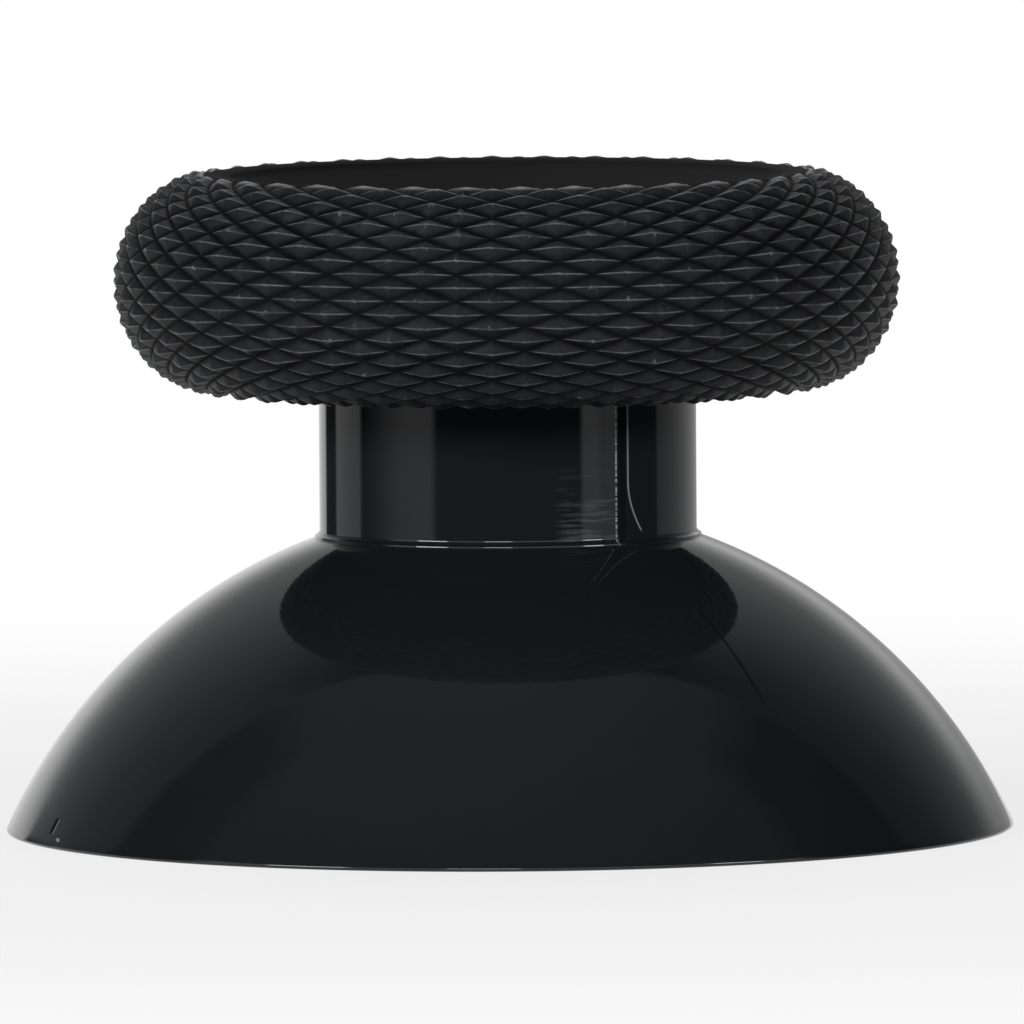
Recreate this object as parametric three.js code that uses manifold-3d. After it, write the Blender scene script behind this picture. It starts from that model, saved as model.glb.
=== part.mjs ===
// Thumbstick cap of a game controller: a soft knurled grip moulded over the head of a gloss plastic stem.
// Millimetres, +Z up along the axis. The origin is the centre of the rim that the cap rests on.
import * as THREE from "three";
import { mergeVertices, toCreasedNormals } from "three/addons/utils/BufferGeometryUtils.js";
import Module from "manifold-3d";

const wasm = await Module();
wasm.setup();

const degrees = THREE.MathUtils.degToRad;

// Dome and neck of the stem
const RIM_RADIUS = 12.5; // the widest place of the cap
const RIM_ROUND = 0.06; // rounding of the rim's outer edge
const DOME_RISE = 8.11; // from the plane of the rim up to the top of the sphere that the dome is part of
const DOME_WALL = 1.05;
const NECK_RADIUS = 4.68;
const NECK_FILLET = 0.25; // between the neck and the dome

// Post under the dome, with the two-flat socket that presses onto the stick's lever
const POST_RADIUS = 3.0;
const POST_LIFT = 2.3; // from the plane of the rim up to the post's end face
const SOCKET_RADIUS = 2.1;
const SOCKET_FLATS = 3.2; // across the two flats
const SOCKET_DEPTH = 6.0;
const SOCKET_LEAD = 0.25; // how far the mouth widens, and how deep that lead-in is

// Ribs between the post and the dome's ceiling
const RIB_PAIRS = 2; // each pair is one straight web across the post
const RIB_THICKNESS = 0.8;
const RIB_LIFT = 3.6; // from the plane of the rim up to the ribs' lower edge
const RIB_TURN = degrees(45);

// Head that holds the grip, with notches round its edge that key the rubber
const HEAD_RADIUS = 7.5;
const HEAD_THICKNESS = 1.8;
const KEY_COUNT = 6;
const KEY_RADIUS = 0.9;
const GRIP_CLEARANCE = 0.05; // between the rubber and the sides of the head, the keys and the neck

// Ring of the grip: an oval section, measured over the points of the knurling
const RING_RADIUS = 7.23; // from the axis to the middle of the section
const RING_LIFT = 13.63; // from the plane of the rim up to the middle of the section
const RING_HALF_WIDTH = 2.55;
const RING_HALF_HEIGHT = 2.78;

// Knurling: pointed diamonds, each row turned by half a diamond from the next
const DIAMONDS_AROUND = 36;
const ROWS_ABOVE = 11; // rows from the ring's widest place to the last one, beside its top
const ROWS_BELOW = 13; // rows from the widest place to the last one under the ring
const ROW_STEP = degrees(7.05); // from one row to the next, round the section
const TOP_STRETCH = degrees(4.5); // how much further round the last row on top lies
const STRETCH_POWER = 6; // the higher, the fewer rows share in that
const KNURL_DEPTH = 0.17;
const KNURL_TURN = degrees(-2.3); // a diamond of the widest row, measured from -Y towards +X

// Smooth land inside the last row, dish on top, and the plain underside
const LAND_STEP = 0.17; // from the last row's grooves in to the land
const LAND_DROP = 0.1; // from the last row's points down to the land
const LAND_WIDTH = 0.51;
const LAND_FALL = 0.06; // how far the land falls towards the dish
const LIP_HEIGHT = 0.05; // the small wall at the dish's edge
const LIP_DRAFT = 0.03; // how far that wall leans in
const DISH_DEPTH = 1.35; // from the edge down to the middle of the dish
const RUBBER_OVER_HEAD = 1.1; // at the middle of the dish
const UNDERSIDE_RISE = 0.4; // from the ring's lowest place up to where the rubber meets the neck

// How finely round shapes are divided
const STEM_COLUMNS = 72;
const DOME_STEPS = 12;
const CEILING_STEPS = 8;
const EDGE_STEPS = 2;
const FILLET_STEPS = 3;
const DISH_STEPS = 8;
const SOCKET_STEPS = 10;
const KEY_SIDES = 16;
const KEY_ROOT = 0.3; // how far a key reaches into the rubber above and below the head

const CREASE = degrees(25); // faces that meet at less than this are shaded as one surface
const WELD = 1e-4;

const point = (radius, height) => new THREE.Vector2(radius, height);

// Points of a round stretch of a profile, from one angle to another.
function arc(centre, radius, from, to, steps) {
  return Array.from({ length: steps + 1 }, (_, step) => {
    const angle = from + ((to - from) * step) / steps;
    return point(centre.x + radius * Math.cos(angle), centre.y + radius * Math.sin(angle));
  });
}

const angleTo = (from, to) => Math.atan2(to.y - from.y, to.x - from.x);

// A closed mesh as a solid that can be joined and cut.
function solidFrom(geometry) {
  geometry.deleteAttribute("normal");
  geometry.deleteAttribute("uv");
  const welded = mergeVertices(geometry, WELD);
  return new wasm.Manifold(
    new wasm.Mesh({
      numProp: 3,
      vertProperties: new Float32Array(welded.attributes.position.array),
      triVerts: new Uint32Array(welded.index.array),
    }),
  );
}

function geometryFrom(solid) {
  const { vertProperties, triVerts } = solid.getMesh();
  const geometry = new THREE.BufferGeometry();
  geometry.setAttribute("position", new THREE.BufferAttribute(vertProperties, 3));
  geometry.setIndex(new THREE.BufferAttribute(triVerts, 1));
  return toCreasedNormals(geometry, CREASE);
}

// A lathe turns its profile round Y, and the cap's axis is Z.
const upright = (geometry) => geometry.rotateX(Math.PI / 2);

const revolved = (profile) => solidFrom(upright(new THREE.LatheGeometry(profile, STEM_COLUMNS)));

// The dome is part of the sphere that has this rise and runs into the rounding of the rim.
const rimCentre = point(RIM_RADIUS - RIM_ROUND, RIM_ROUND);
const riseInside = DOME_RISE - 2 * RIM_ROUND;
const domeCentre = point(0, rimCentre.y - (rimCentre.x ** 2 - riseInside ** 2) / 2 / riseInside);
const domeRadius = DOME_RISE - domeCentre.y;
const ceilingRadius = domeRadius - DOME_WALL;

// The fillet touches the dome and the neck.
const filletCentre = point(
  NECK_RADIUS + NECK_FILLET,
  domeCentre.y + Math.sqrt((domeRadius + NECK_FILLET) ** 2 - (NECK_RADIUS + NECK_FILLET) ** 2),
);

// A point of the ring's section at a row, counted up from the widest place.
function sectionPoint(row, below) {
  const angle = row * ROW_STEP + TOP_STRETCH * (Math.max(row, 0) / ROWS_ABOVE) ** STRETCH_POWER;
  return point(
    RING_RADIUS + (RING_HALF_WIDTH - below) * Math.cos(angle),
    RING_LIFT + (RING_HALF_HEIGHT - below) * Math.sin(angle),
  );
}

// The land starts just inside the last row, and the dish at the land's inner edge.
const landEdge = point(
  sectionPoint(ROWS_ABOVE, KNURL_DEPTH).x - LAND_STEP,
  sectionPoint(ROWS_ABOVE, 0).y - LAND_DROP,
);
const dishEdge = point(landEdge.x - LAND_WIDTH, landEdge.y - LAND_FALL);
const dishFoot = point(dishEdge.x - LIP_DRAFT, dishEdge.y - LIP_HEIGHT);
const dishMiddle = point(0, dishEdge.y - DISH_DEPTH);
const headTop = dishMiddle.y - RUBBER_OVER_HEAD;
const headBottom = headTop - HEAD_THICKNESS;

// The same upright pegs cut the notches of the head and, a little slimmer, fill them with rubber.
function keyPegs(radius, from, to) {
  return Array.from({ length: KEY_COUNT }, (_, key) => {
    const peg = upright(new THREE.CylinderGeometry(radius, radius, to - from, KEY_SIDES));
    peg.translate(HEAD_RADIUS, 0, (from + to) / 2);
    return solidFrom(peg.rotateZ((2 * Math.PI * key) / KEY_COUNT));
  });
}

// Outline of the socket: a circle with two flats, which face +Y and -Y.
function socketOutline() {
  const flat = Math.asin(SOCKET_FLATS / 2 / SOCKET_RADIUS);
  const outline = new THREE.Shape();
  outline.absarc(0, 0, SOCKET_RADIUS, -flat, flat);
  outline.absarc(0, 0, SOCKET_RADIUS, Math.PI - flat, Math.PI + flat);
  outline.closePath();
  return outline;
}

const socketPlug = (depth) =>
  new THREE.ExtrudeGeometry(socketOutline(), {
    depth,
    steps: 1,
    bevelEnabled: false,
    curveSegments: SOCKET_STEPS,
  });

// The hole for the lever, open at the post's end face, where a lead-in widens it.
function socketHole() {
  const bore = solidFrom(socketPlug(SOCKET_DEPTH).translate(0, 0, POST_LIFT));
  const leadIn = socketPlug(2 * SOCKET_LEAD);
  const corner = leadIn.attributes.position;
  for (let i = 0; i < corner.count; i += 1) {
    const widening = 1 + (SOCKET_LEAD - corner.getZ(i)) / SOCKET_RADIUS;
    corner.setXY(i, corner.getX(i) * widening, corner.getY(i) * widening);
  }
  return bore.add(solidFrom(leadIn.translate(0, 0, POST_LIFT - SOCKET_LEAD)));
}

// Straight webs across the post, up into the dome's wall.
function ribs() {
  const height = domeCentre.y + domeRadius - RIB_LIFT;
  const webs = Array.from({ length: RIB_PAIRS }, (_, pair) => {
    const web = new THREE.BoxGeometry(2 * RIM_RADIUS, RIB_THICKNESS, height);
    web.translate(0, 0, RIB_LIFT + height / 2);
    return solidFrom(web.rotateZ(RIB_TURN + (Math.PI * pair) / RIB_PAIRS));
  });
  const middleOfWall = domeRadius - DOME_WALL / 2;
  const inside = revolved([
    point(0, 0),
    ...arc(domeCentre, middleOfWall, -Math.asin(domeCentre.y / middleOfWall), Math.PI / 2, DOME_STEPS),
  ]);
  return webs[0].add(webs[1]).intersect(inside);
}

function stemSolid() {
  const body = revolved([
    point(0, POST_LIFT),
    point(POST_RADIUS, POST_LIFT),
    ...arc(
      domeCentre,
      ceilingRadius,
      Math.acos(POST_RADIUS / ceilingRadius),
      -Math.asin(domeCentre.y / ceilingRadius),
      CEILING_STEPS,
    ),
    ...arc(rimCentre, RIM_ROUND, -Math.PI / 2, angleTo(domeCentre, rimCentre), EDGE_STEPS),
    ...arc(
      domeCentre,
      domeRadius,
      angleTo(domeCentre, rimCentre),
      angleTo(domeCentre, filletCentre),
      DOME_STEPS,
    ).slice(1),
    ...arc(filletCentre, NECK_FILLET, angleTo(filletCentre, domeCentre), -Math.PI, FILLET_STEPS).slice(1),
    point(NECK_RADIUS, headBottom),
    point(HEAD_RADIUS, headBottom),
    point(HEAD_RADIUS, headTop),
    point(0, headTop),
  ]);
  const notches = keyPegs(KEY_RADIUS, headBottom - KEY_ROOT, headTop + KEY_ROOT);
  const notched = notches.reduce((solid, notch) => solid.subtract(notch), body);
  return notched.add(ribs()).subtract(socketHole());
}

// The knurling is a grid of half diamonds, with rows from under the ring up to its top.
const knurlColumns = 2 * DIAMONDS_AROUND;
const lowestRow = -ROWS_BELOW;
const knurlRows = Array.from({ length: ROWS_ABOVE + ROWS_BELOW + 1 }, (_, count) => lowestRow + count);

// Every other crossing of the grid is the point of a diamond.
const isPoint = (column, row) => (column + row) % 2 === 0;

// The pocket round the head and the neck, then the plain underside out to the ring's section.
function pocketProfile() {
  const pocketRadius = HEAD_RADIUS + GRIP_CLEARANCE;
  const neckHole = NECK_RADIUS + GRIP_CLEARANCE;
  return [
    point(0, headTop),
    point(pocketRadius, headTop),
    point(pocketRadius, headBottom),
    point(neckHole, headBottom),
    point(neckHole, RING_LIFT - RING_HALF_HEIGHT + UNDERSIDE_RISE),
    sectionPoint(lowestRow - 1, KNURL_DEPTH),
  ];
}

// The land, then the dish from its edge in to the axis: a small leaning wall and a shallow bowl.
function dishProfile() {
  const fall = dishFoot.y - dishMiddle.y;
  const bowlRadius = (dishFoot.x ** 2 + fall ** 2) / 2 / fall;
  const bowlCentre = point(0, dishMiddle.y + bowlRadius);
  const bowl = arc(bowlCentre, bowlRadius, angleTo(bowlCentre, dishFoot), -Math.PI / 2, DISH_STEPS);
  return [landEdge, dishEdge, ...bowl.slice(0, -1), dishMiddle];
}

// Lifts the diamonds' points out of the turned grid.
function raisePoints(lathe, profile, firstRow) {
  const corner = lathe.attributes.position;
  knurlRows.forEach((row, count) => {
    const index = firstRow + count;
    const raised = sectionPoint(row, 0);
    const outwards = raised.x / profile[index].x;
    for (let column = 0; column <= knurlColumns; column += 1) {
      if (!isPoint(column, row)) continue;
      const at = column * profile.length + index;
      corner.setXYZ(at, corner.getX(at) * outwards, raised.y, corner.getZ(at) * outwards);
    }
  });
}

// Each cell is split along its groove, so that the diamonds' edges run straight.
function splitAlongGrooves(lathe, profile, firstRow) {
  const triangles = [];
  for (let column = 0; column < knurlColumns; column += 1) {
    for (let index = 0; index < profile.length - 1; index += 1) {
      const a = column * profile.length + index;
      const b = ((column + 1) % knurlColumns) * profile.length + index;
      const c = b + 1;
      const d = a + 1;
      const pointFirst = isPoint(column, lowestRow + index - firstRow);
      triangles.push(...(pointFirst ? [a, b, d, c, d, b] : [a, b, c, a, c, d]));
    }
  }
  lathe.setIndex(triangles);
}

function gripSolid() {
  const pocket = pocketProfile();
  const grooves = knurlRows.map((row) => sectionPoint(row, KNURL_DEPTH));
  const profile = [...pocket, ...grooves, ...dishProfile()];
  const lathe = new THREE.LatheGeometry(profile, knurlColumns, KNURL_TURN);
  raisePoints(lathe, profile, pocket.length);
  splitAlongGrooves(lathe, profile, pocket.length);
  const keys = keyPegs(KEY_RADIUS - GRIP_CLEARANCE, headBottom - KEY_ROOT, headTop + KEY_ROOT);
  return keys.reduce((solid, key) => solid.add(key), solidFrom(upright(lathe)));
}

const glossPlastic = new THREE.MeshStandardMaterial({ color: 0x0f1317, roughness: 0.08, metalness: 0 });
const mattRubber = new THREE.MeshStandardMaterial({ color: 0x15181a, roughness: 0.75, metalness: 0 });

function named(name, solid, material) {
  const mesh = new THREE.Mesh(geometryFrom(solid), material);
  mesh.name = name;
  return mesh;
}

const cap = new THREE.Group();
cap.name = "thumbstick_cap";
cap.add(named("stem", stemSolid(), glossPlastic));
cap.add(named("grip", gripSolid(), mattRubber));

export default cap;
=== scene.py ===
# %% [markdown]
# # A thumbstick cap
# This cap presses onto the little lever of a controller's thumbstick. It has two mouldings: a gloss black stem
# with a domed skirt, and a soft rubber grip moulded over the stem's head, with a knurled ring and a shallow dish.
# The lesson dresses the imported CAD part. It sets up the studio first, then makes the grip, then the stem, and
# gives each its own finish.

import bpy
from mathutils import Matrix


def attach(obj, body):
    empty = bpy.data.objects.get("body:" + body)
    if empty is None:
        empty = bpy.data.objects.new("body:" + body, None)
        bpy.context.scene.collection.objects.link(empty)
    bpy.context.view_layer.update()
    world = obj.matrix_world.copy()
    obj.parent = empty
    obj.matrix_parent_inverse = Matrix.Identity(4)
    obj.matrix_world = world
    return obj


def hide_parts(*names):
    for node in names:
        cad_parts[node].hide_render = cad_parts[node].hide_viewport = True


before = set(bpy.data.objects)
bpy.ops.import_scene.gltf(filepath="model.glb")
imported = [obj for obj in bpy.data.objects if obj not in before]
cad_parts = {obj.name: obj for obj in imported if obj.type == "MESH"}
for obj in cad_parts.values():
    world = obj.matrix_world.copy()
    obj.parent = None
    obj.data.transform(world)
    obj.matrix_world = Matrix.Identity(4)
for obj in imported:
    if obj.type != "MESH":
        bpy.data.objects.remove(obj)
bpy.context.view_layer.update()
print("nodes of the part:", sorted(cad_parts))

# %% Libraries and units
from math import acos, asin, atan2, cos, degrees, hypot, pi, radians, sin, sqrt, tau

import bmesh
import bpy
from mathutils import Matrix, Vector, noise

MM = 0.001
TINY = 1e-4  # corners closer than this, in millimetres, are one corner
ABOUT_AXIS = {"cent": (0, 0, 0), "axis": (0, 0, 1)}
scene = bpy.context.scene
scene.view_settings.view_transform = "Standard"

# %% [markdown]
# ## Shader sums
# Materials here are sums of masks: where a seam runs, where a ridge is worn. Such sums are easier to read as
# Python expressions than as a list of nodes and links, so one small class wraps a socket, and its operators add
# the Math nodes. Anything that isn't a sum comes from one method, `node`.

# %% A socket that can be used in sums
class Wire:
    def __init__(self, tree, socket=None):
        self.tree = tree
        self.socket = socket

    def node(self, kind, inputs=None, out=0, stops=None, **settings):
        made = self.tree.nodes.new(kind)
        for name, value in settings.items():
            setattr(made, name, value)
        if stops:
            elements = made.color_ramp.elements
            while len(elements) < len(stops):
                elements.new(1.0)
            for element, (place, shade) in zip(elements, stops):
                element.position = place
                element.color = (*([shade] * 3 if isinstance(shade, (int, float)) else shade), 1.0)
        for name, value in (inputs or {}).items():
            if isinstance(value, Wire):
                self.tree.links.new(value.socket, made.inputs[name])
            else:
                made.inputs[name].default_value = value
        return Wire(self.tree, made.outputs[out])

    def maths(self, operation, *values):
        return self.node("ShaderNodeMath", dict(enumerate(values)), operation=operation)

    def __add__(self, other):
        return self.maths("ADD", self, other)

    def __sub__(self, other):
        return self.maths("SUBTRACT", self, other)

    def __rsub__(self, other):
        return self.maths("SUBTRACT", other, self)

    def __mul__(self, other):
        return self.maths("MULTIPLY", self, other)

    def __truediv__(self, other):
        return self.maths("DIVIDE", self, other)

    def __neg__(self):
        return self.maths("MULTIPLY", self, -1.0)

    def __abs__(self):
        return self.maths("ABSOLUTE", self)

    __radd__ = __add__
    __rmul__ = __mul__

    def most(self, other):
        return self.maths("MAXIMUM", self, other)

    def rise(self, low, high):
        """0 below low and 1 above high, with a smooth way between. low may be the higher one: then it falls."""
        if low > high:
            return 1.0 - self.rise(high, low)
        inputs = {"Value": self, "From Min": low, "From Max": high}
        return self.node("ShaderNodeMapRange", inputs, interpolation_type="SMOOTHSTEP")

    def band(self, low, high, edge):
        """1 between low and high, with soft edges of this width."""
        half = edge / 2
        return self.rise(low - half, low + half) * self.rise(high + half, high - half)

    def split(self):
        """The three numbers of a vector."""
        made = self.tree.nodes.new("ShaderNodeSeparateXYZ")
        self.tree.links.new(self.socket, made.inputs[0])
        return [Wire(self.tree, out) for out in made.outputs]

    def mixed(self, low, high):
        """A colour between two others: low where this is 0, high where this is 1."""
        inputs = {0: self, 6: low, 7: high}
        return self.node("ShaderNodeMix", inputs, out=2, data_type="RGBA")


def colour(red, green, blue):
    return (red, green, blue, 1.0)


def new_material(name):
    made = bpy.data.materials.new(name)
    made.use_nodes = True
    made.node_tree.nodes.clear()
    return made, Wire(made.node_tree)


def in_millimetres(pen):
    """A point's place on the object, in millimetres, for patterns and masks."""
    place = pen.node("ShaderNodeTexCoord", out="Object")
    return place.node("ShaderNodeVectorMath", {0: place, 3: 1 / MM}, operation="SCALE")


def finish_material(pen, shader):
    output = pen.tree.nodes.new("ShaderNodeOutputMaterial")
    pen.tree.links.new(shader.socket, output.inputs["Surface"])


# %% [markdown]
# ## The camera
# The photograph was taken with a long lens from just above the height of the dome. A long lens keeps the rim's
# curve shallow. The camera is turned by less than half a degree, because the cap leans that much in the picture.

# %% Camera
TARGET = Vector((0.098, 0, 7.841))  # the place in the middle of the picture, in millimetres
DISTANCE = 450.4
LENS = 638.2
ELEVATION = radians(4.004)
LEAN = radians(0.387)

camera = bpy.data.objects.new("camera", bpy.data.cameras.new("camera"))
scene.collection.objects.link(camera)
scene.camera = camera
camera.data.lens = LENS
camera.data.sensor_width = 36
camera.data.clip_start = 0.05
camera.data.clip_end = 10
back = Vector((0, -cos(ELEVATION), sin(ELEVATION)))
camera.location = (TARGET + DISTANCE * back) * MM
camera.rotation_euler = (Matrix.Rotation(-LEAN, 3, back) @ Matrix.Rotation(pi / 2 - ELEVATION, 3, "X")).to_euler()
print("camera at", [round(v, 4) for v in camera.location])

# %% [markdown]
# ## The studio
# A gloss black part shows its surroundings more than its own colour, so the room is the main thing to get right.
# Here it is one world shader: dim overhead, dark in front where the camera stands, white behind at the horizon,
# and soft upright panels on both sides that the neck mirrors as stripes. A long low strip in front lights the
# ridges of the knurling. Angles are in degrees, read from a ray's direction: the turn is 0 towards the camera and
# grows to the right, and the height is 0 at the horizon.

# %% World
world = bpy.data.worlds.new("studio")
world.use_nodes = True
world.node_tree.nodes.clear()
scene.world = world
sky = Wire(world.node_tree)

way_x, way_y, way_z = sky.node("ShaderNodeTexCoord").split()
turn = way_x.maths("ARCTAN2", way_x, -way_y) * degrees(1)
height = way_z.maths("ARCSINE", way_z) * degrees(1)
side = abs(turn)

ceiling = sky.node("ShaderNodeValToRGB", {"Fac": height / 90}, stops=[
    (0.0, 0.03), (0.22, 0.05), (0.47, 0.09), (0.67, 0.125), (1.0, 0.17)])
ceiling = ceiling * (1 - 0.25 * way_x)
gaps = turn.band(-113, -84, 14) * 0.7 + turn.band(78, 114, 14) * 0.9  # dark, left and right
ceiling = ceiling * (1 - gaps * height.rise(62, 48)) * side.rise(113, 109)

on_left = turn.rise(5, -5)
rear_wall = side.rise(108, 113) * (0.05 + 0.08 * on_left + (0.28 - 0.05 * on_left) * side.rise(112, 165))
rear_wall = rear_wall * height.rise(75, 45)
rear_light = side.rise(140, 166) * height.rise(26, 4) * 0.75

low = height.rise(14, 4)
panels = (
    0.03  # the dark between the panels
    + 0.95 * turn.band(-185, -148, 4)  # behind on the left, nearly white
    + 0.48 * turn.band(-130, -102, 4)  # left
    + 0.44 * turn.rise(-100, -58) * turn.rise(-43, -49)  # left front, brighter towards the front
    + turn.band(46, 70, 4) * (0.52 - 0.14 * turn.rise(54, 62))  # right front
    + turn.band(104, 185, 4) * (0.21 + 0.20 * turn.rise(104, 150))  # right, round to the back
)
front_strip = 1.4 * turn.band(-78, 74, 12) * height.band(12, 26, 5)
upper = ceiling + rear_wall + rear_light + front_strip
room = upper + (panels - upper) * low

# %% [markdown]
# The camera sees plain white behind the cap. Rays that a gloss surface mirrors see the room, which is pale behind
# the cap too.

# %% White background
path = sky.node("ShaderNodeLightPath", out="Is Camera Ray")
behind = sky.node("ShaderNodeBackground", {"Color": colour(1, 1, 1), "Strength": path.most(room)})
world_output = world.node_tree.nodes.new("ShaderNodeOutputWorld")
world.node_tree.links.new(behind.socket, world_output.inputs["Surface"])

# %% [markdown]
# Four soft lamps give the rubber its light. The one overhead hangs behind the cap, where the dome doesn't mirror
# it to this camera. The others stand low in front, on the left, in the middle and on the right. They catch the
# ridges of the knurling, and in the plastic this camera sees them only in the fillet at the foot of the neck.

# %% Lamps
LAMP_AIM = Vector((0, 0, 0.008))  # the middle of the cap, in metres


def soft_lamp(name, turn_deg, height_deg, distance, width, tall, power):
    data = bpy.data.lights.new(name, "AREA")
    data.shape = "RECTANGLE"
    data.size, data.size_y = width, tall
    data.energy = power
    lamp = bpy.data.objects.new(name, data)
    scene.collection.objects.link(lamp)
    a, e = radians(turn_deg), radians(height_deg)
    way = Vector((sin(a) * cos(e), -cos(a) * cos(e), sin(e)))
    lamp.location = LAMP_AIM + distance * way
    lamp.rotation_euler = way.to_track_quat("Z", "Y").to_euler()
    lamp.visible_camera = False
    print(f"{name}: {power} W, {round(1000 * width)} x {round(1000 * tall)} mm")


soft_lamp("lamp_overhead", 180, 60, 0.40, 0.20, 0.20, 0.24)
soft_lamp("lamp_left", -48, 18, 0.42, 0.14, 0.10, 0.52)
soft_lamp("lamp_front", -6, 18, 0.42, 0.12, 0.08, 0.24)
soft_lamp("lamp_right", 54, 18, 0.42, 0.09, 0.10, 0.28)

# %% [markdown]
# ## The floor
# A pale disc carries the cap and catches its shadow. What the camera sees of it, directly or in a gloss surface, is
# lifted towards white, so that the shadow stays pale. To the light that bounces between dull surfaces it is a plain
# grey card, so that it doesn't light the cap from below. From below the disc is clear, so that the underside can be
# looked at.

# %% Floor
FLOOR_RADIUS = 0.10
FADE_START, FADE_END = 0.02, 0.08  # how far out the shadow fades away
SHADOW_SHARE = 0.26  # how much of the white the shadow can take
CARD_GREY = 0.30

floor_mesh = bpy.data.meshes.new("floor")
bm = bmesh.new()
bmesh.ops.create_circle(bm, cap_ends=True, radius=FLOOR_RADIUS, segments=96)
bm.to_mesh(floor_mesh)
bm.free()
floor = bpy.data.objects.new("floor", floor_mesh)
scene.collection.objects.link(floor)

paper, pen = new_material("white_paper")
seen = pen.node("ShaderNodeLightPath", out="Is Camera Ray")
seen = seen.most(pen.node("ShaderNodeLightPath", out="Is Glossy Ray"))
seen = seen.most(pen.node("ShaderNodeLightPath", out="Is Transmission Ray"))
place = pen.node("ShaderNodeTexCoord", out="Object")
far = place.node("ShaderNodeVectorMath", {0: place}, out="Value", operation="LENGTH")
far = far.rise(FADE_START, FADE_END)
fibres = place.node("ShaderNodeTexNoise", {"Vector": place, "Scale": 900.0, "Detail": 3.0})
white = pen.node("ShaderNodeEmission", {"Strength": (1 - SHADOW_SHARE) + SHADOW_SHARE * far})
shaded = pen.node("ShaderNodeBsdfDiffuse", {"Color": (SHADOW_SHARE * (1 - far)) * (0.98 + 0.04 * fibres)})
shown = pen.node("ShaderNodeAddShader", {0: white, 1: shaded})
bounced = pen.node("ShaderNodeBsdfDiffuse", {"Color": colour(CARD_GREY, CARD_GREY, CARD_GREY)})
from_above = pen.node("ShaderNodeMixShader", {0: seen, 1: bounced, 2: shown})
below = pen.node("ShaderNodeNewGeometry", out="Backfacing")
clear = pen.node("ShaderNodeBsdfTransparent")
finish_material(pen, pen.node("ShaderNodeMixShader", {0: below, 1: from_above, 2: clear}))
floor_mesh.materials.append(paper)

# %% [markdown]
# ## Sections and turning
# Both mouldings are round, so each starts as half a section, a chain of corners at a radius and a height, that is
# spun about the axis. A round stretch of a section is an arc. Sizes are in millimetres until a piece is done.

# %% Helpers for turned pieces
def arc(centre, radius, start, end, steps):
    """Points from one angle to another, in degrees."""
    turns = [radians(start + (end - start) * step / steps) for step in range(steps + 1)]
    return [(centre[0] + radius * cos(a), centre[1] + radius * sin(a)) for a in turns]


def at(radius, height, turn):
    """A point by its distance from the axis, its height, and its turn from the front, in radians."""
    return Vector((radius * sin(turn), -radius * cos(turn), height))


def draw_section(bm, section, turn):
    """The corners of a section in their order, and the edges between them."""
    chain = [bm.verts.new(at(radius, height, turn)) for radius, height in section]
    return chain, [bm.edges.new(pair) for pair in zip(chain, chain[1:])]


def copy_round(bm, copies):
    """Copies all of a bmesh that many times, to fill the circle with even steps."""
    everything = bm.verts[:] + bm.edges[:] + bm.faces[:]
    bmesh.ops.spin(bm, geom=everything, angle=tau * copies / (copies + 1), steps=copies, use_duplicate=True,
                   **ABOUT_AXIS)


def mesh_piece(name, bm, sharp):
    """Makes the finished bmesh an object in metres, with smooth faces, and edges sharp past this angle in degrees."""
    bmesh.ops.recalc_face_normals(bm, faces=bm.faces)
    for face in bm.faces:
        face.smooth = True
    for edge in bm.edges:
        edge.smooth = edge.calc_face_angle(0.0) < radians(sharp)
    bmesh.ops.scale(bm, vec=(MM, MM, MM), verts=bm.verts)
    data = bpy.data.meshes.new(name)
    bm.to_mesh(data)
    bm.free()
    piece = bpy.data.objects.new(name, data)
    scene.collection.objects.link(piece)
    data.calc_loop_triangles()
    print(f"{name}: {len(data.loop_triangles)} triangles, {[round(v / MM, 2) for v in piece.dimensions]} mm")
    return piece


# %% [markdown]
# ## The grip
# The ring has an oval section, and its outside is knurled with 36 pointed diamonds to a row. Each row is turned by
# half a diamond from the next. A texture could fake this from afar, but the outline would stay smooth, so the
# diamonds are real. A strip of the ring as wide as one diamond, ten degrees, is spun on a fine grid, raised into
# points, and then copied round.

# %% Sizes of the grip
RING_RADIUS = 7.23  # from the axis to the middle of the ring's section
RING_LIFT = 13.63
RING_HALF_WIDTH = 2.55  # over the points
RING_HALF_HEIGHT = 2.78
DIAMONDS_AROUND = 36
ROWS_ABOVE = 11  # half diamonds from the widest place to the last row on top
ROWS_BELOW = 13
ROW_STEP = radians(7.05)
TOP_STRETCH = radians(4.5)  # how much further round the last row on top lies
STRETCH_POWER = 6
KNURL_DEPTH = 0.17  # to the grooves' level in the CAD part
GROOVE_DEPTH = 0.20  # to the bottom of the sharper grooves here
KNURL_TURN = radians(-2.3)
HALF_DIAMOND = pi / DIAMONDS_AROUND
STEPS_PER_ROW = 4
BLUNT_REACH = 0.30  # how far from a point the facets are less steep, in half diamonds
BLUNT_SHARE = 0.60  # and how much less
LAST_ROW_HEIGHT = 0.72  # of the points beside the land, against all others

LAND_STEP = 0.17
LAND_DROP = 0.1
LAND_WIDTH = 0.51
LAND_FALL = 0.06
LIP_HEIGHT = 0.05
LIP_DRAFT = 0.03
DISH_DEPTH = 1.35
RUBBER_OVER_HEAD = 1.1
HEAD_RADIUS = 7.5
HEAD_THICKNESS = 1.8
NECK_RADIUS = 4.68
GRIP_CLEARANCE = 0.05
UNDERSIDE_RISE = 0.4
UNDERSIDE_END = 5.4  # where the flat underside meets the ring
POCKET_BEVEL = 0.08
LAND_EASE = (0.05, 0.015)  # the slope up to the land flattens this far before its edge
EDGE_EASE = 0.02
BOWL_STEPS = 18
OFF_RING = -99.0  # the row number of corners that aren't on the knurled ring


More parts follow.
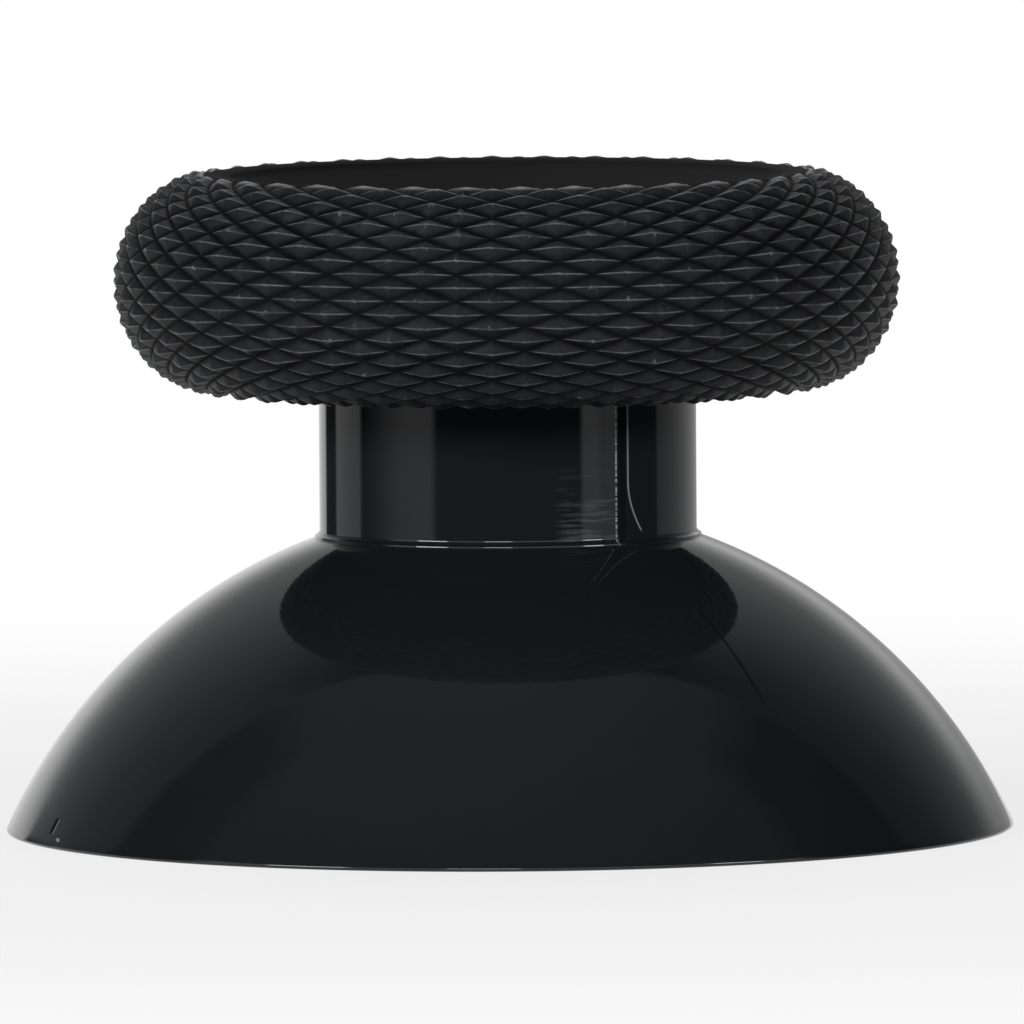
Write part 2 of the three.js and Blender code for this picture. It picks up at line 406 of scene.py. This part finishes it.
def ring_point(row, below):
    """Radius and height of the ring's section at a row counted up from its widest place."""
    angle = row * ROW_STEP + TOP_STRETCH * (max(row, 0) / ROWS_ABOVE) ** STRETCH_POWER
    out = RING_RADIUS + (RING_HALF_WIDTH - below) * cos(angle)
    up = RING_LIFT + (RING_HALF_HEIGHT - below) * sin(angle)
    return out, up


land_edge = (ring_point(ROWS_ABOVE, KNURL_DEPTH)[0] - LAND_STEP, ring_point(ROWS_ABOVE, 0)[1] - LAND_DROP)
dish_edge = (land_edge[0] - LAND_WIDTH, land_edge[1] - LAND_FALL)
dish_foot = (dish_edge[0] - LIP_DRAFT, dish_edge[1] - LIP_HEIGHT)
dish_middle = dish_edge[1] - DISH_DEPTH
head_top = dish_middle - RUBBER_OVER_HEAD
head_bottom = head_top - HEAD_THICKNESS
print("dish edge", [round(v, 3) for v in dish_edge])
print("head from", round(head_bottom, 3), "to", round(head_top, 3))

# %% [markdown]
# Each facet of a diamond should be nearly flat, and only its ridges a little rounded. Smooth shading rounds
# whatever lies between two grid lines, so the lines are crowded: one close to each side of a ridge or groove, and
# one halfway.

# %% The section of the grip
def crowd(x):
    """Moves a quarter towards the nearest whole number, and leaves whole numbers and halves where they are."""
    return x - 0.11 * sin(tau * x)


underside = RING_LIFT - RING_HALF_HEIGHT + UNDERSIDE_RISE
pocket = [
    (0, head_top),
    (HEAD_RADIUS + GRIP_CLEARANCE, head_top),
    (HEAD_RADIUS + GRIP_CLEARANCE, head_bottom),
    (NECK_RADIUS + GRIP_CLEARANCE, head_bottom),
    (NECK_RADIUS + GRIP_CLEARANCE, underside + POCKET_BEVEL),
    (NECK_RADIUS + GRIP_CLEARANCE + POCKET_BEVEL, underside),
    (UNDERSIDE_END, underside),
]
rows = [row + crowd(step / STEPS_PER_ROW)
        for row in range(-ROWS_BELOW - 1, ROWS_ABOVE) for step in range(STEPS_PER_ROW)]
rows.append(ROWS_ABOVE)
land = [
    (land_edge[0] + LAND_EASE[0], land_edge[1] - LAND_EASE[1]),
    land_edge,
    dish_edge,
    (dish_edge[0] - EDGE_EASE, dish_edge[1] - EDGE_EASE),
]
fall = dish_foot[1] - dish_middle
bowl_radius = (dish_foot[0] ** 2 + fall ** 2) / 2 / fall
bowl_start = -90 + degrees(asin(dish_foot[0] / bowl_radius))
bowl = arc((0, dish_middle + bowl_radius), bowl_radius, bowl_start, -90, BOWL_STEPS)
section = pocket + [ring_point(row, GROOVE_DEPTH) for row in rows] + land + bowl[:-1] + [(0, dish_middle)]
print(len(section), "corners in the grip's section")

# %% [markdown]
# The diamonds' points lie where a row and a column whose numbers have an even sum cross. In the two slanting
# directions, that is a plain square grid, so the height falls from 1 on a point to 0 at the edges of its square.
# The grid is even at first, with each corner's row and column kept in a layer, and the columns are crowded too.

# %% Raising the diamonds
def relief_at(column, row):
    one, other = (column + row) / 2, (column - row) / 2
    centre_row = round(one) - round(other)
    if not -ROWS_BELOW <= centre_row <= ROWS_ABOVE:
        return 0.0
    away = 2 * max(abs(one - round(one)), abs(other - round(other)))
    blunt = BLUNT_SHARE * BLUNT_REACH
    height = (1 - away - BLUNT_SHARE * max(0, BLUNT_REACH - away)) / (1 - blunt)
    return height * (LAST_ROW_HEIGHT if centre_row == ROWS_ABOVE else 1)


def near_whole(x):
    return abs(x - round(x)) < 0.01


bm = bmesh.new()
relief = bm.verts.layers.float.new("relief")
ridge = bm.verts.layers.float.new("ridge")
ring_row = bm.verts.layers.float.new("ring_row")
chain, edges = draw_section(bm, section, KNURL_TURN)
for vert in chain:
    vert[ring_row] = OFF_RING
for vert, row in zip(chain[len(pocket):], rows):
    vert[ring_row] = row
bmesh.ops.spin(bm, geom=chain + edges, angle=2 * HALF_DIAMOND, steps=2 * STEPS_PER_ROW, **ABOUT_AXIS)


def on_ring(vert):
    return vert[ring_row] > OFF_RING + 1


for vert in bm.verts:
    radius, height = hypot(vert.co.x, vert.co.y), vert.co.z
    even = round((atan2(vert.co.x, -vert.co.y) - KNURL_TURN) / HALF_DIAMOND * STEPS_PER_ROW) / STEPS_PER_ROW
    column = int(even) + crowd(even - int(even))
    if on_ring(vert):
        row = vert[ring_row]
        vert[relief] = relief_at(column, row)
        vert[ridge] = 1.0 if near_whole(row) else 0.5 if near_whole(column) else 0.0
        radius, height = ring_point(row, GROOVE_DEPTH * (1 - vert[relief]))
    vert.co = at(radius, height, KNURL_TURN + column * HALF_DIAMOND)
bmesh.ops.remove_doubles(bm, verts=bm.verts, dist=TINY)
print("corners on points in one strip:", sum(vert[relief] > 0.99 for vert in bm.verts))

# %% [markdown]
# A groove runs from corner to corner of the grid's cells. `connect_verts` splits each of those cells along it, so
# that the grooves run straight. Then the strip is copied round, and the copies are merged.

# %% Straight grooves, and the whole ring
grooves = [vert for vert in bm.verts if on_ring(vert) and vert[relief] < 0.001]
bmesh.ops.connect_verts(bm, verts=grooves)
copy_round(bm, DIAMONDS_AROUND - 1)
bmesh.ops.remove_doubles(bm, verts=bm.verts, dist=TINY)
print(len(bm.faces), "faces in the grip")

# %% [markdown]
# Moulded knurling is never quite even. Each diamond is a little higher or lower than the next, and the two halves
# of the mould leave a fine upright line on opposite sides of the ring, which fills the grooves that it crosses.

# %% Unevenness and the grip's mould line
SEAM_TURN = KNURL_TURN - HALF_DIAMOND
SEAM_HALF_WIDTH = 0.07
SEAM_RELIEF = 0.62
SEAM_ROWS = (-8, ROWS_ABOVE)
MEAN_RELIEF = 0.93
WOBBLES = ((0.07, 1.7), (0.05, 4.1))  # how strong, and how many to a millimetre

for vert in filter(on_ring, bm.verts):
    turn_now = atan2(vert.co.x, -vert.co.y)
    radius = hypot(vert.co.x, vert.co.y)
    off = abs(radius * sin(turn_now - SEAM_TURN))
    wobble = sum(strength * noise.noise(vert.co * scale) for strength, scale in WOBBLES)
    height = vert[relief] * (MEAN_RELIEF + wobble)
    if off < SEAM_HALF_WIDTH and SEAM_ROWS[0] < vert[ring_row] < SEAM_ROWS[1]:
        height = max(height, SEAM_RELIEF)
    radius, lift = ring_point(vert[ring_row], GROOVE_DEPTH * (1 - height))
    vert.co = at(radius, lift, turn_now)
grip = mesh_piece("knurled_grip", bm, sharp=75)

# %% [markdown]
# ## The finish of the rubber
# The rubber is nearly black and dull. The grooves are painted darkest, as painted shade. Level ridges are rubbed
# smoother and lighter, partly wear and partly a painted highlight, so that they show as thin bright lines, and the
# points carry small painted glints. The outer lip beside the dish is smoother and painted lighter, a painted
# highlight. The dish and the land round it are duller still, and the dish is painted darker on the left and lighter
# on the right, as painted shading. The bmesh left two numbers on each corner for this: `relief` is the height on a
# diamond, and `ridge` is 1 along its level ridge.

# %% Rubber
rubber, pen = new_material("grip_rubber")
spot = in_millimetres(pen)
x, y, z = spot.split()
high = pen.node("ShaderNodeAttribute", out="Fac", attribute_name="relief")
level_ridge = pen.node("ShaderNodeAttribute", out="Fac", attribute_name="ridge")
from_axis = x.maths("SQRT", x * x + y * y)
in_dish = from_axis.rise(7.52, 7.45) * z.rise(14.0, 14.5)
# the outer lip: smoother, and painted lighter below as a painted highlight
lip = z.rise(16.22, 16.30) * from_axis.rise(7.48, 7.56)

fine = spot.node("ShaderNodeTexNoise", {"Vector": spot, "Scale": 14.0, "Detail": 4.0, "Roughness": 0.6})
coarse = spot.node("ShaderNodeTexNoise", {"Vector": spot, "Scale": 1.6, "Detail": 3.0})
# painted glints: small spots on the points, painted near white below and made less rough
point_glints = spot.node("ShaderNodeTexNoise", {"Vector": spot, "Scale": 6.0, "Detail": 2.0}).rise(0.60, 0.70)
# the level ridges: smoother from wear, and painted lighter below as a painted highlight
ridge_wear_and_highlight = level_ridge.rise(0.45, 0.95) * high.rise(0.05, 0.5) * (0.35 + 0.65 * coarse.rise(0.35, 0.60))

# painted shade: the grooves are painted far darker than the facets
body = high.rise(0.12, 0.62).mixed(colour(0.0018, 0.0020, 0.0026), colour(0.0172, 0.0180, 0.0206))
# the ridges painted light grey: partly wear, partly a painted highlight
body = ridge_wear_and_highlight.mixed(body, colour(0.150, 0.154, 0.160))
# painted glints on the points, near white
body = (point_glints * high.rise(0.7, 1.0) * 0.6).mixed(body, colour(0.26, 0.265, 0.27))
# painted highlight: a light line along the outer lip
body = (lip * 0.8).mixed(body, colour(0.24, 0.245, 0.25))
dull = 0.52 + 0.16 * (fine - 0.5) + 0.3 * high.rise(0.30, 0.0) - 0.16 * ridge_wear_and_highlight - 0.14 * point_glints * high - 0.16 * lip
grain = pen.node("ShaderNodeBump", {"Distance": 1.0, "Height": fine * 2.5e-6})
skin = pen.node("ShaderNodeBsdfPrincipled", {
    "Base Color": body, "Roughness": dull, "Normal": grain, "Specular IOR Level": 0.14})

# painted shading: the dish is darker on the left and lighter on the right
plain = x.rise(-6, 6).mixed(colour(0.0090, 0.0088, 0.0088), colour(0.0152, 0.0148, 0.0153))
plain_grain = pen.node("ShaderNodeBump", {"Distance": 1.0, "Height": fine * 3.0e-6})
dish = pen.node("ShaderNodeBsdfPrincipled", {
    "Base Color": plain, "Roughness": 0.88 + 0.08 * (coarse - 0.5), "Normal": plain_grain,
    "Specular IOR Level": 0.10})
finish_material(pen, pen.node("ShaderNodeMixShader", {0: in_dish, 1: skin, 2: dish}))
grip.data.materials.append(rubber)
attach(grip, "root")
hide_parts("grip")

# %% [markdown]
# ## The stem
# The stem is one moulding: rim, domed skirt, a small fillet, the neck, and the head inside the rubber. Underneath
# it is hollow, with a post for the lever. All of that is round, so one section is spun with fine steps: a gloss
# surface shows every flat. The dome is part of a sphere that runs into the rim's rounding.

# %% Sizes of the stem
RIM_RADIUS = 12.5
RIM_ROUND = 0.06
DOME_RISE = 8.11
DOME_WALL = 1.05
NECK_FILLET = 0.25
POST_RADIUS = 3.0
POST_LIFT = 2.3
POST_EDGE = 0.15
SOCKET_RADIUS = 2.1
SOCKET_FLATS = 3.2
SOCKET_DEPTH = 6.0
SOCKET_LEAD = 0.25
RIB_THICKNESS = 0.8
RIB_LIFT = 3.6
RIB_TURN = radians(45)
RIB_ROOT = 0.4  # how far the ribs reach into the post
RIB_EDGE = 0.15  # bevel of their lower edges
RIB_COUNT = 4
STEM_COLUMNS = 360
NECK_MIDDLE = 9.0
DOME_STEPS = 72
CEILING_STEPS = 36

rim_centre = (RIM_RADIUS - RIM_ROUND, RIM_ROUND)
rise_inside = DOME_RISE - 2 * RIM_ROUND
dome_centre = (0, RIM_ROUND - (rim_centre[0] ** 2 - rise_inside ** 2) / 2 / rise_inside)
dome_radius = DOME_RISE - dome_centre[1]
ceiling_radius = dome_radius - DOME_WALL
fillet_radius = NECK_RADIUS + NECK_FILLET
fillet_centre = (fillet_radius, dome_centre[1] + sqrt((dome_radius + NECK_FILLET) ** 2 - fillet_radius ** 2))
rim_angle = degrees(atan2(rim_centre[1] - dome_centre[1], rim_centre[0]))
fillet_angle = degrees(atan2(fillet_centre[1] - dome_centre[1], fillet_centre[0]))
print("dome radius", round(dome_radius, 3), "from", round(rim_angle, 1), "to", round(fillet_angle, 1), "degrees")

# %% [markdown]
# Where the neck meets the dome, the photograph shows two thin lines of light one above the other. A plain fillet
# gives one, so this one has a small step in it, and the hollow on each side of the step mirrors the lamps once. It
# is too small for the CAD part.

# %% The stepped fillet
HOLLOW_ABOVE = 0.14  # radius of the upper hollow
HOLLOW_BELOW = 0.10
STEP_ROUND = 0.04  # radius of the step's edge between them
STEP_SLOPE = 8  # how far the step's face leans, in degrees
step_top = fillet_angle - 1

foot = arc((0, 0), HOLLOW_ABOVE, 180, 180 + step_top, 10)
for radius, start, end in (
        (STEP_ROUND, step_top, STEP_SLOPE),
        (HOLLOW_BELOW, 180 + STEP_SLOPE, 180 + fillet_angle)):
    centre = (foot[-1][0] - radius * cos(radians(start)), foot[-1][1] - radius * sin(radians(start)))
    foot = foot + arc(centre, radius, start, end, 8)[1:]
foot = [(NECK_RADIUS + radius - foot[0][0], height) for radius, height in foot]
drop = dome_centre[1] + sqrt(dome_radius ** 2 - foot[-1][0] ** 2) - foot[-1][1]
foot = [(radius, height + drop) for radius, height in reversed(foot)]
dome_end = degrees(acos(foot[0][0] / dome_radius))
print("foot of the neck from", [round(v, 3) for v in foot[0]], "to", [round(v, 3) for v in foot[-1]])

# %% [markdown]
# The section starts on the axis at the top of the socket. It runs down inside the socket, up the outside of the
# post, along the dome's ceiling and down to the rim, and then up the outside to the top of the head.

# %% The section of the stem
socket_top = POST_LIFT + SOCKET_DEPTH
inside = [
    (0, socket_top),
    (SOCKET_RADIUS, socket_top),
    (SOCKET_RADIUS, POST_LIFT + SOCKET_LEAD),
    (SOCKET_RADIUS + SOCKET_LEAD, POST_LIFT),
    *arc((POST_RADIUS - POST_EDGE, POST_LIFT + POST_EDGE), POST_EDGE, -90, 0, 4),
    *arc(dome_centre, ceiling_radius, degrees(acos(POST_RADIUS / ceiling_radius)),
         degrees(-asin(dome_centre[1] / ceiling_radius)), CEILING_STEPS),
]
outside = [
    *arc(rim_centre, RIM_ROUND, -90, rim_angle, 5),
    *arc(dome_centre, dome_radius, rim_angle, dome_end, DOME_STEPS)[1:-1],
    *foot,
    (NECK_RADIUS, NECK_MIDDLE),
    (NECK_RADIUS, head_bottom),
    (HEAD_RADIUS, head_bottom),
    (HEAD_RADIUS, head_top),
    (0, head_top),
]
bm = bmesh.new()
chain, edges = draw_section(bm, inside + outside, 0)
bmesh.ops.spin(bm, geom=chain + edges, angle=tau, steps=STEM_COLUMNS, use_merge=True, **ABOUT_AXIS)
bmesh.ops.remove_doubles(bm, verts=bm.verts, dist=TINY)
print(len(bm.faces), "faces in the turned stem")

# %% [markdown]
# The lever has two flats, so its socket has them too. The bore was spun round, and everything that lies past a
# flat is moved onto it. At the mouth the flats stand wider apart, as the lead-in does.

# %% Flats of the socket
SLACK = 0.01

for vert in bm.verts:
    radius = hypot(vert.co.x, vert.co.y)
    if radius < SOCKET_RADIUS + SOCKET_LEAD + SLACK and POST_LIFT - SLACK < vert.co.z < socket_top + SLACK:
        widening = 1 + SOCKET_LEAD / SOCKET_RADIUS * (vert.co.z < POST_LIFT + SLACK)
        flat = SOCKET_FLATS / 2 * widening
        vert.co.y = max(-flat, min(flat, vert.co.y))

# %% [markdown]
# Four slim ribs brace the post against the dome. One is drawn as a flat outline that ends inside the post and
# inside the dome's wall, thickened, bevelled along its lower edges, and copied round.

# %% Ribs
rib_reach = dome_radius - DOME_WALL / 2
rib_foot = POST_RADIUS - RIB_ROOT
rib_start = degrees(acos(rib_foot / rib_reach))
rib_end = degrees(asin((RIB_LIFT - dome_centre[1]) / rib_reach))
outline = [(rib_foot, RIB_LIFT)] + arc(dome_centre, rib_reach, rib_start, rib_end, 12)

ribs = bmesh.new()
face = ribs.faces.new([ribs.verts.new((radius, -RIB_THICKNESS / 2, height)) for radius, height in outline])
thick = bmesh.ops.extrude_face_region(ribs, geom=[face])
moved = [item for item in thick["geom"] if isinstance(item, bmesh.types.BMVert)]
bmesh.ops.translate(ribs, vec=(0, RIB_THICKNESS, 0), verts=moved)


def is_lower_edge(edge):
    one, other = (vert.co for vert in edge.verts)
    return max(abs(one.z - RIB_LIFT), abs(other.z - RIB_LIFT)) < TINY and abs(one.x - other.x) > 1


bmesh.ops.bevel(ribs, geom=[edge for edge in ribs.edges if is_lower_edge(edge)], offset=RIB_EDGE,
                offset_type="OFFSET", segments=3, profile=0.5, affect="EDGES", material=-1)
bmesh.ops.rotate(ribs, verts=ribs.verts, cent=(0, 0, 0), matrix=Matrix.Rotation(RIB_TURN, 3, "Z"))
copy_round(ribs, RIB_COUNT - 1)
bmesh.ops.recalc_face_normals(ribs, faces=ribs.faces)
rib_mesh = bpy.data.meshes.new("ribs")
ribs.to_mesh(rib_mesh)
ribs.free()
bmesh.ops.recalc_face_normals(bm, faces=bm.faces)
bm.from_mesh(rib_mesh)
bpy.data.meshes.remove(rib_mesh)
stem = mesh_piece("gloss_stem", bm, sharp=30)

# %% [markdown]
# ## The finish of the plastic
# Gloss plastic is a dark, slightly blue body under a clear mirror. What makes it look real is how that mirror is
# spoilt. The mould's seam is a dull dark line on two sides. In front it has a scuffed edge on its left, which is
# also painted near white as a painted highlight, a thin painted highlight line on its right that bends away low
# down, and level streaks beside it, low on the neck, which are bumped and painted grey as a painted reflection.
# The rim has a small nick and a chip, and all of the mirror waves a very little. These are far too fine for the
# mesh, so colour, roughness and a Bump node make them, with heights in metres. All places are in millimetres.

# %% Plastic
STEM_SEAM = radians(38)
# the scuffed edge of the seam, which is also painted near white as a painted highlight
SCUFF_AND_HIGHLIGHT_EDGE = -0.27  # its place across the seam
HIGHLIGHT_LINE_PLACE = 0.095  # the same for the painted highlight line, down to where it bends
HIGHLIGHT_LINE_BENDS = 8.85  # the height below which it bends away
NICK = (-11.19, 0.53)
NICK_HALF_LENGTH = 0.18
CHIP = (-11.10, 0.24)

plastic, pen = new_material("gloss_plastic")
spot = in_millimetres(pen)
x, y, z = spot.split()
level = pen.node("ShaderNodeCombineXYZ", {0: x * 0.8, 1: y * 0.8, 2: z * 9.0})

waves = spot.node("ShaderNodeTexNoise", {"Vector": spot, "Scale": 0.55, "Detail": 1.0})
peel = spot.node("ShaderNodeTexNoise", {"Vector": spot, "Scale": 3.5, "Detail": 2.0})
streaks = pen.node("ShaderNodeTexNoise", {"Vector": level, "Scale": 1.0, "Detail": 4.0, "Roughness": 0.6})

on_neck = z.rise(7.2, 7.5)
front = y.rise(0.0, -0.5)
across = x * cos(STEM_SEAM) + y * sin(STEM_SEAM)
below_neck = z.rise(6.0, 5.7) * z.rise(3.4, 4.0)
seam = across.band(-0.20, 0.03, 0.04) * on_neck + abs(across).rise(0.060, 0.030) * below_neck
scuffs = pen.node("ShaderNodeTexNoise", {"Vector": level, "Scale": 2.6, "Detail": 2.0})
# the scuffed edge: rougher where scuffed, and painted near white below as a painted highlight
edge = abs(across - SCUFF_AND_HIGHLIGHT_EDGE).rise(0.035, 0.012) * on_neck * scuffs.rise(0.40, 0.54) * front
fallen = (HIGHLIGHT_LINE_BENDS - z).most(0.0)
# painted highlight: a thin bright line right of the seam, bending away low down
painted_highlight_line = abs(across - HIGHLIGHT_LINE_PLACE - 0.28 * fallen * fallen).rise(0.036, 0.014) * z.rise(7.55, 7.65) * front

# grey streaks low on the neck: the streaks are bumped, and their grey is a painted reflection
painted_streak_reflection = x.band(1.3, 2.6, 0.5) * on_neck * z.rise(9.6, 7.6) * front
painted_streak_reflection = painted_streak_reflection * (across - SCUFF_AND_HIGHLIGHT_EDGE).rise(0.0, -0.05) * streaks.rise(0.48, 0.60)

nick_x, nick_z = x - NICK[0], z - NICK[1]
nick_ends = (NICK_HALF_LENGTH + 0.03, NICK_HALF_LENGTH - 0.03)
nick = abs(nick_x - 0.50 * nick_z).rise(0.055, 0.025) * abs(nick_z).rise(*nick_ends) * front
chip_x, chip_z = x - CHIP[0], z - CHIP[1]
chip = (chip_x * chip_x + chip_z * chip_z).rise(0.0030, 0.0008) * front

bumps = waves * 1.2e-6 + peel * 5.0e-8 + streaks * (1.5e-7 + 8.0e-7 * on_neck * z.rise(10.5, 7.6))
bumps = bumps - 1.0e-5 * nick
shape = pen.node("ShaderNodeBump", {"Distance": 1.0, "Height": bumps})
cloud = spot.node("ShaderNodeTexNoise", {"Vector": spot, "Scale": 0.9, "Detail": 4.0, "Roughness": 0.65})
tint = cloud.mixed(colour(0.0107, 0.0131, 0.0162), colour(0.0124, 0.0153, 0.0187))
# painted reflection: the streaks painted grey
tint = (painted_streak_reflection * 0.6).mixed(tint, colour(0.09, 0.095, 0.10))
# painted highlight: the scuffed edge painted near white
tint = (edge * 0.8).mixed(tint, colour(0.50, 0.51, 0.52))
# the chip's own lighter grey, and the painted highlight line in the same grey
tint = chip.most(painted_highlight_line).mixed(tint, colour(0.30, 0.31, 0.32))
gloss = 0.045 + 0.04 * cloud.rise(0.35, 0.8) + 0.35 * edge
coat = pen.node("ShaderNodeBsdfPrincipled", {"Base Color": tint, "Roughness": gloss, "Normal": shape, "IOR": 1.5})
burr = pen.node("ShaderNodeBsdfDiffuse", {"Color": colour(0.008, 0.009, 0.011)})
finish_material(pen, pen.node("ShaderNodeMixShader", {0: seam.most(nick) * 0.85, 1: coat, 2: burr}))
stem.data.materials.append(plastic)
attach(stem, "root")
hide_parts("stem")
